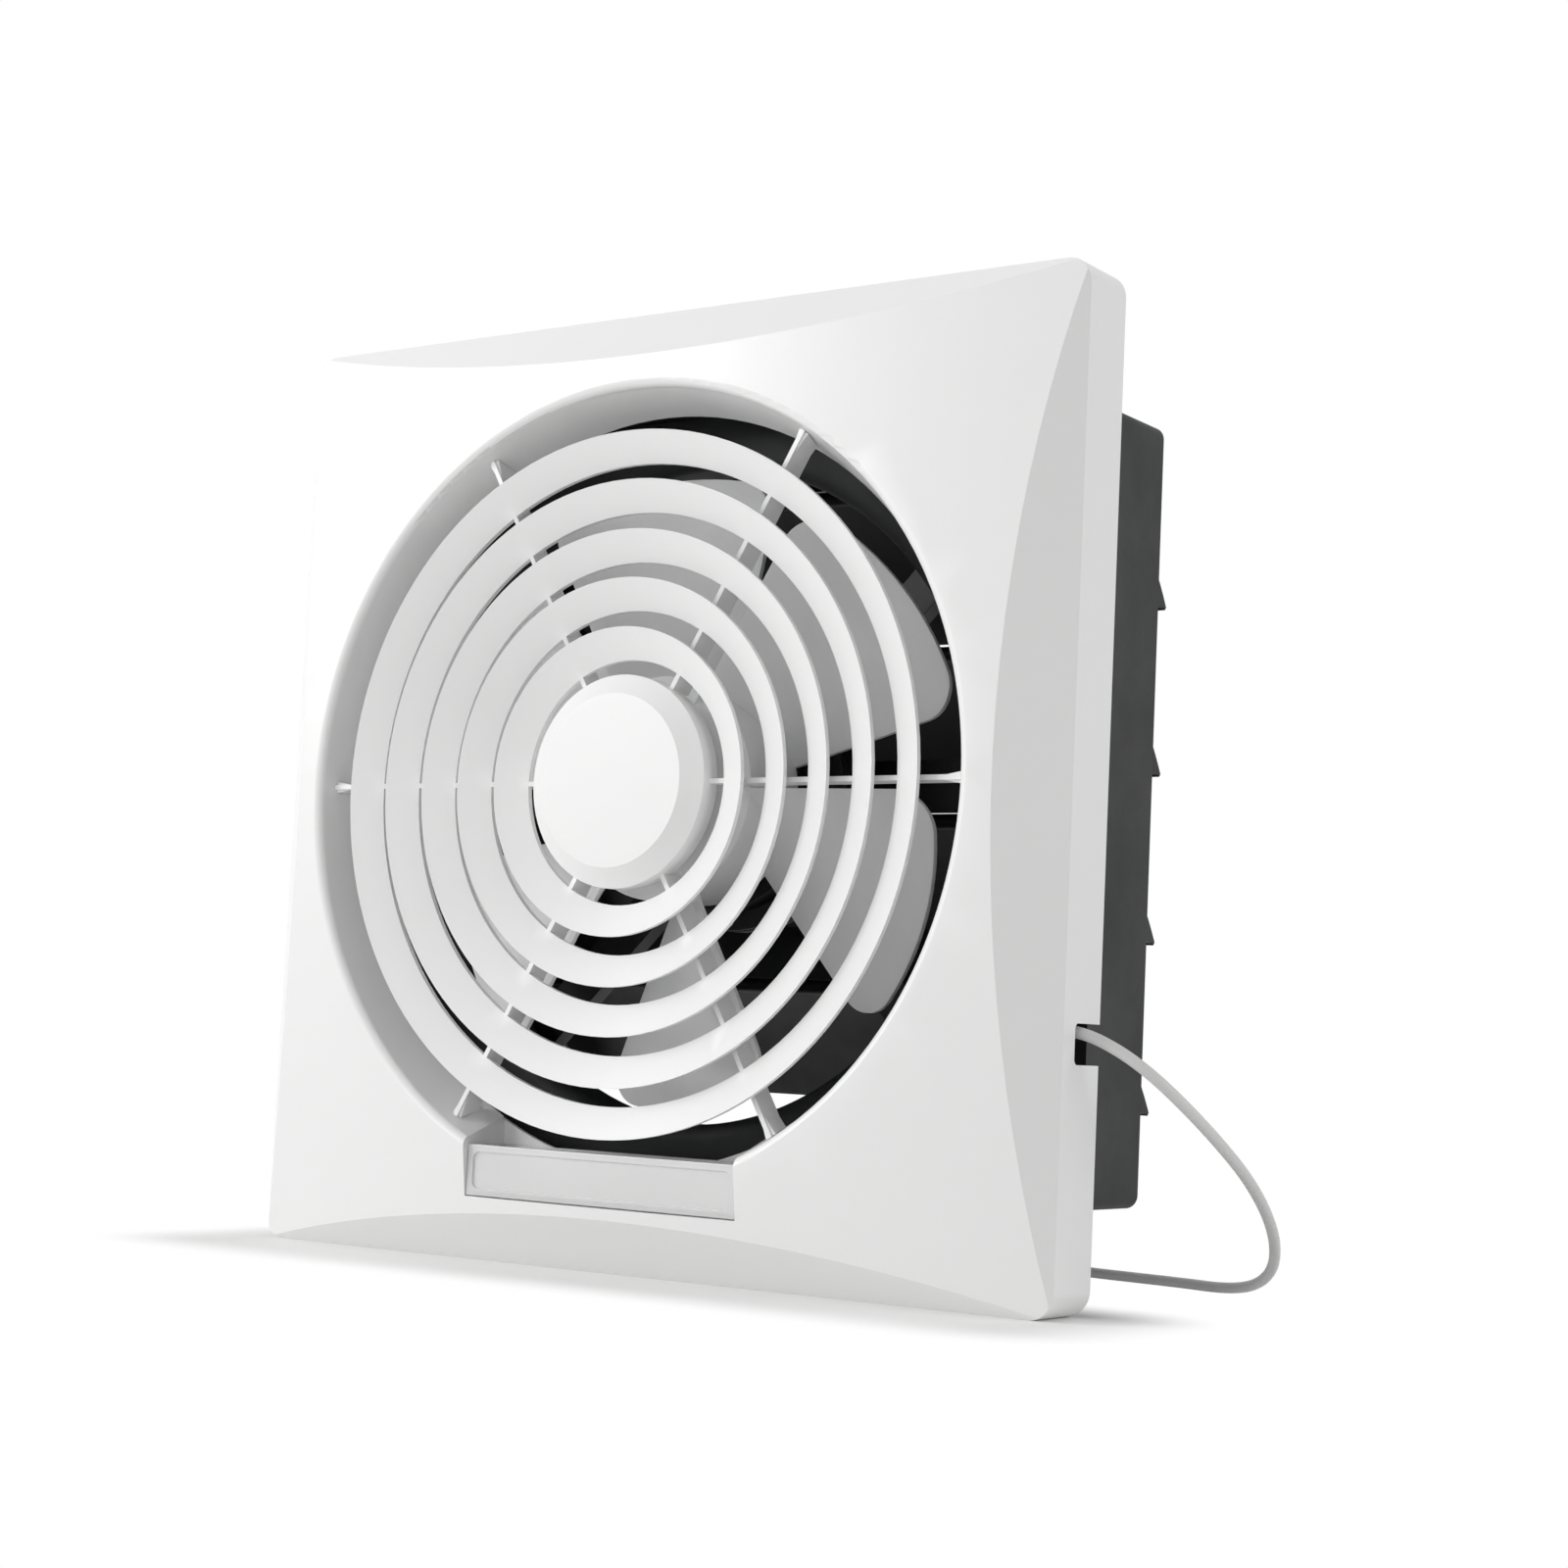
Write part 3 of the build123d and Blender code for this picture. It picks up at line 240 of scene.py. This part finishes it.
def makeMouldedSkin():
    # fine moulded grain, slow colour drift and a change in gloss
    group, given, out = newGroup(
        "mouldedSkin",
        [("Colour", "NodeSocketColor", (0.8, 0.8, 0.8, 1)), ("Drift", "NodeSocketFloat", 0.03),
         ("Drift Scale", "NodeSocketFloat", 9.0), ("Grain Scale", "NodeSocketFloat", 900.0),
         ("Grain", "NodeSocketFloat", 0.2), ("Gloss Low", "NodeSocketFloat", 0.3),
         ("Gloss High", "NodeSocketFloat", 0.4)],
        [("Colour", "NodeSocketColor"), ("Roughness", "NodeSocketFloat"), ("Height", "NodeSocketFloat")])
    nodes, links = group.nodes, group.links
    coords = nodes.new("ShaderNodeTexCoord")
    slow = nodes.new("ShaderNodeTexNoise")
    slow.inputs["Detail"].default_value = 5
    slow.inputs["Roughness"].default_value = 0.6
    links.new(coords.outputs["Object"], slow.inputs["Vector"])
    links.new(given.outputs["Drift Scale"], slow.inputs["Scale"])
    fine = nodes.new("ShaderNodeTexNoise")
    fine.inputs["Detail"].default_value = 3
    links.new(coords.outputs["Object"], fine.inputs["Vector"])
    links.new(given.outputs["Grain Scale"], fine.inputs["Scale"])
    centred = nodes.new("ShaderNodeMath")
    centred.operation = "SUBTRACT"
    centred.inputs[1].default_value = 0.5
    links.new(slow.outputs["Fac"], centred.inputs[0])
    speck = nodes.new("ShaderNodeMath")
    speck.operation = "MULTIPLY_ADD"
    speck.inputs[1].default_value = 0.35
    links.new(fine.outputs["Fac"], speck.inputs[0])
    links.new(centred.outputs[0], speck.inputs[2])
    amount = nodes.new("ShaderNodeMath")
    amount.operation = "MULTIPLY_ADD"
    amount.inputs[2].default_value = 1.0
    links.new(speck.outputs[0], amount.inputs[0])
    links.new(given.outputs["Drift"], amount.inputs[1])
    tint = nodes.new("ShaderNodeVectorMath")
    tint.operation = "SCALE"
    links.new(given.outputs["Colour"], tint.inputs[0])
    links.new(amount.outputs[0], tint.inputs["Scale"])
    links.new(tint.outputs[0], out.inputs["Colour"])
    gloss = nodes.new("ShaderNodeMapRange")
    gloss.inputs["From Min"].default_value = 0.3
    gloss.inputs["From Max"].default_value = 0.7
    links.new(slow.outputs["Fac"], gloss.inputs["Value"])
    links.new(given.outputs["Gloss Low"], gloss.inputs["To Min"])
    links.new(given.outputs["Gloss High"], gloss.inputs["To Max"])
    links.new(gloss.outputs["Result"], out.inputs["Roughness"])
    grain = nodes.new("ShaderNodeMath")
    grain.operation = "MULTIPLY"
    links.new(fine.outputs["Fac"], grain.inputs[0])
    links.new(given.outputs["Grain"], grain.inputs[1])
    links.new(grain.outputs[0], out.inputs["Height"])
    return group


mouldedSkin = makeMouldedSkin()


def makeMoulded(name, look):
    mat = bpy.data.materials.new(name)
    mat.use_nodes = True
    nodes, links = mat.node_tree.nodes, mat.node_tree.links
    shader = nodes["Principled BSDF"]
    skin = nodes.new("ShaderNodeGroup")
    skin.node_tree = mouldedSkin
    skin.inputs["Colour"].default_value = look["colour"]
    skin.inputs["Drift"].default_value = look.get("drift", 0.03)
    skin.inputs["Drift Scale"].default_value = look.get("driftScale", 9)
    skin.inputs["Grain Scale"].default_value = look.get("grainScale", 900)
    skin.inputs["Grain"].default_value = look.get("grain", 0.2)
    skin.inputs["Gloss Low"].default_value = look["gloss"][0]
    skin.inputs["Gloss High"].default_value = look["gloss"][1]
    bump = nodes.new("ShaderNodeBump")
    bump.inputs["Distance"].default_value = look.get("bump", 0.0002)
    bump.inputs["Strength"].default_value = look.get("bumpStrength", 0.25)
    links.new(skin.outputs["Height"], bump.inputs["Height"])
    links.new(skin.outputs["Colour"], shader.inputs["Base Color"])
    links.new(skin.outputs["Roughness"], shader.inputs["Roughness"])
    links.new(bump.outputs["Normal"], shader.inputs["Normal"])
    for socket, value in look.get("shader", {}).items():
        shader.inputs[socket].default_value = value
    return mat


looks = {
    "whitePlastic": {"colour": (0.86, 0.86, 0.858, 1), "gloss": (0.28, 0.36), "drift": 0.02,
                     "grainScale": 420, "bump": 0.00015, "bumpStrength": 0.12},
    "palePlastic": {"colour": (0.92, 0.925, 0.925, 1), "gloss": (0.34, 0.46), "drift": 0.04,
                    "grainScale": 600, "shader": {"Subsurface Weight": 0.3, "Subsurface Scale": 0.006,
                               "Subsurface Radius": (1, 1, 1)}},
    "charcoalPlastic": {"colour": (0.016, 0.0168, 0.018, 1), "gloss": (0.5, 0.68), "drift": 0.5,
                        "driftScale": 26, "grainScale": 1100, "grain": 0.6, "bumpStrength": 0.4,
                        "shader": {"Specular IOR Level": 0.3}},
    "blackPlastic": {"colour": (0.012, 0.012, 0.013, 1), "gloss": (0.38, 0.55), "drift": 0.3,
                     "grainScale": 900, "bumpStrength": 0.3},
    "motorEnamel": {"colour": (0.028, 0.028, 0.03, 1), "gloss": (0.25, 0.4), "drift": 0.2,
                    "grainScale": 260, "bumpStrength": 0.15},
    "laminations": {"colour": (0.36, 0.36, 0.37, 1), "gloss": (0.35, 0.5), "drift": 0.15,
                    "shader": {"Metallic": 1.0}},
    "copperWire": {"colour": (0.62, 0.26, 0.11, 1), "gloss": (0.28, 0.4), "drift": 0.2,
                   "shader": {"Metallic": 1.0}},
    "zincSteel": {"colour": (0.6, 0.6, 0.62, 1), "gloss": (0.2, 0.38), "drift": 0.1, "driftScale": 60,
                  "shader": {"Metallic": 1.0}},
    "paleRubber": {"colour": (0.68, 0.68, 0.675, 1), "gloss": (0.42, 0.55), "drift": 0.04,
                   "grainScale": 700},
    "blackRubber": {"colour": (0.015, 0.015, 0.016, 1), "gloss": (0.5, 0.65), "drift": 0.2},
    "brassPins": {"colour": (0.75, 0.58, 0.28, 1), "gloss": (0.18, 0.3), "drift": 0.1,
                  "shader": {"Metallic": 1.0}},
    "clearPlastic": {"colour": (0.99, 0.99, 0.99, 1), "gloss": (0.1, 0.2), "drift": 0.01,
                     "shader": {"Transmission Weight": 0.4, "IOR": 1.45}},
}
materials = {name: makeMoulded(name, look) for name, look in looks.items()}
print("materials:", len(materials))

# the rigid pieces that keep the CAD shape
dressed = [
    # node, body, look, slot, bevel, sharp angle
    ("front_panel", "fan_body", "whitePlastic", "white_plastic", 0.0007, 14),
    ("oil_cup", "oil_cup", "clearPlastic", "clear_plastic", 0.0004, 30),
    ("body_frame", "fan_body", "charcoalPlastic", "charcoal_plastic", 0.0006, 32),
    ("orifice_ring", "fan_body", "charcoalPlastic", "charcoal_plastic", 0.0004, 32),
    ("orifice_screws", "fan_body", "zincSteel", "zinc_steel", 0.0002, 32),
    ("panel_clips", "fan_body", "zincSteel", "zinc_steel", 0.0002, 32),
    ("motor_bracket", "fan_body", "blackPlastic", "black_plastic", 0.0011, 32),
    ("bracket_screws", "fan_body", "zincSteel", "zinc_steel", 0.0002, 32),
    ("motor_front_bell", "fan_body", "motorEnamel", "motor_steel", 0.0005, 32),
    ("motor_rear_bell", "fan_body", "motorEnamel", "motor_steel", 0.0005, 32),
    ("motor_screws", "fan_body", "zincSteel", "zinc_steel", 0.0002, 32),
    ("stator_core", "fan_body", "laminations", "lamination_steel", 0.0003, 32),
    ("stator_windings", "fan_body", "copperWire", "copper_wire", 0.001, 32),
    ("rotor", "impeller", "laminations", "lamination_steel", 0.0003, 32),
    ("motor_shaft", "impeller", "zincSteel", "zinc_steel", 0.0002, 32),
    ("front_bearing", "fan_body", "zincSteel", "zinc_steel", 0.0003, 32),
    ("rear_bearing", "fan_body", "zincSteel", "zinc_steel", 0.0003, 32),
    ("drive_pin", "impeller", "zincSteel", "zinc_steel", 0.0001, 32),
    ("impeller", "impeller", "palePlastic", "pale_plastic", 0.0005, 40),
    ("spinner_nut", "impeller", "palePlastic", "pale_plastic", 0.0006, 32),
    ("shutter_frame", "fan_body", "charcoalPlastic", "charcoal_plastic", 0.0005, 32),
    ("shutter_screws", "fan_body", "zincSteel", "zinc_steel", 0.0002, 32),
    ("louvre_1", "louvre_1", "charcoalPlastic", "charcoal_plastic", 0.0003, 32),
    ("louvre_2", "louvre_2", "charcoalPlastic", "charcoal_plastic", 0.0003, 32),
    ("louvre_3", "louvre_3", "charcoalPlastic", "charcoal_plastic", 0.0003, 32),
    ("louvre_4", "louvre_4", "charcoalPlastic", "charcoal_plastic", 0.0003, 32),
    ("tie_rod", "tie_rod", "blackPlastic", "black_plastic", 0.0003, 32),
    ("drive_crank", "drive_crank", "motorEnamel", "motor_steel", 0.0003, 32),
    ("shutter_motor", "fan_body", "motorEnamel", "motor_steel", 0.0008, 32),
    ("terminal_cover", "fan_body", "blackPlastic", "black_plastic", 0.0005, 32),
    ("terminal_block", "fan_body", "palePlastic", "pale_plastic", 0.0004, 32),
    ("motor_lead", "fan_body", "blackRubber", "black_rubber", 0, 60),
    ("capacitor", "fan_body", "blackPlastic", "black_plastic", 0.0008, 32),
    ("capacitor_strap", "fan_body", "zincSteel", "zinc_steel", 0.0002, 32),
    ("cord_bush", "fan_body", "paleRubber", "pale_rubber", 0.0003, 32),
    ("plug_pins", "fan_body", "brassPins", "brass_pins", 0.0004, 32),
]
for node, body, look, slotName, bevel, angle in dressed:
    dress(node, body, materials[look], bevel, angle)

# ring grille: raked bands, spokes and the boss
dress("ring_grille", "fan_body", materials["whitePlastic"],
                              0.0005, 32)

# power cord, its coil, the tie and the plug
cord = {
    "thickness": 0.004, "coilMeanR": 0.022, "coilTurns": 4, "coilPitch": 0.0046, "coilLayer": 0.0045,
    "coilX": 0.040, "coilY": 0.118, "tieWall": 0.0009, "tieGap": 0.0003, "perTurn": 16,
}
cordLowZ = floorZ + cord["thickness"] / 2
coilLowZ = cordLowZ + cord["tieWall"] + cord["tieGap"]
coilOutR = cord["coilMeanR"] + cord["coilPitch"] * cord["coilTurns"] / 4
coilEndY = cord["coilY"] + coilOutR
cordRoute = [
    (0.147, -0.012, -0.104),
    (0.147, -0.012, -0.0972),
    (0.1496, -0.012, -0.0900),
    (0.1549, -0.0119, -0.0844),
    (0.1629, -0.0117, -0.0811),
    (0.1756, -0.0114, -0.0820),
    (0.1875, -0.0095, -0.0872),
    (0.1965, -0.0045, -0.0942),
    (0.2020, 0.0045, -0.1020),
    (0.2050, 0.0170, -0.1100),
    (0.2065, 0.0320, -0.1185),
    (0.2065, 0.0500, -0.1280),
    (0.2045, 0.0700, -0.1395),
    (0.1995, 0.0900, -0.1515),
    (0.1905, 0.1085, -0.1625),
    (0.1770, 0.1235, -0.1700),
    (0.1600, 0.1345, cordLowZ),
    (0.1400, 0.1410, cordLowZ),
    (0.1180, 0.1440, cordLowZ),
    (0.0960, 0.1440, cordLowZ + 0.0003),
    (0.0740, 0.1436, coilLowZ),
    (0.0580, coilEndY, coilLowZ),
]


def coilPoint(turn):
    turns = cord["coilTurns"]
    r = coilOutR - cord["coilPitch"] * min(turn, turns - turn)
    climb = min(max((turn - turns / 2) * 2 + 0.5, 0), 1)
    a = pi / 2 + 2 * pi * turn
    z = coilLowZ + cord["coilLayer"] * climb ** 2 * (3 - 2 * climb)
    return (cord["coilX"] + r * cos(a), cord["coilY"] + r * sin(a), z)


def makeCord():
    steps = cord["coilTurns"] * cord["perTurn"]
    coilPoints = [coilPoint(k / cord["perTurn"]) for k in range(steps + 1)]
    endX = cord["coilX"] - cord["thickness"]
    points = cordRoute + coilPoints + [(endX, coilEndY, coilLowZ + cord["coilLayer"])]
    curve = bpy.data.curves.new("powerCord", "CURVE")
    curve.dimensions = "3D"
    spline = curve.splines.new("NURBS")
    spline.points.add(len(points) - 1)
    for point, place in zip(spline.points, points):
        point.co = (*place, 1)
    spline.order_u = 3
    spline.use_endpoint_u = True
    spline.resolution_u = 6
    curve.bevel_depth = cord["thickness"] / 2
    curve.bevel_resolution = 5
    curve.use_fill_caps = True
    obj = bpy.data.objects.new("powerCord", curve)
    scene.collection.objects.link(obj)
    return settle(obj, "fan_body", materials["paleRubber"], ["power_cord", "cord_coil"])


powerCord = makeCord()
tie = dress("coil_tie", "fan_body", materials["blackRubber"], 0.0002, 32)
plug = dress("plug_body", "fan_body", materials["paleRubber"], 0.0008, 32)
print("cord laid")
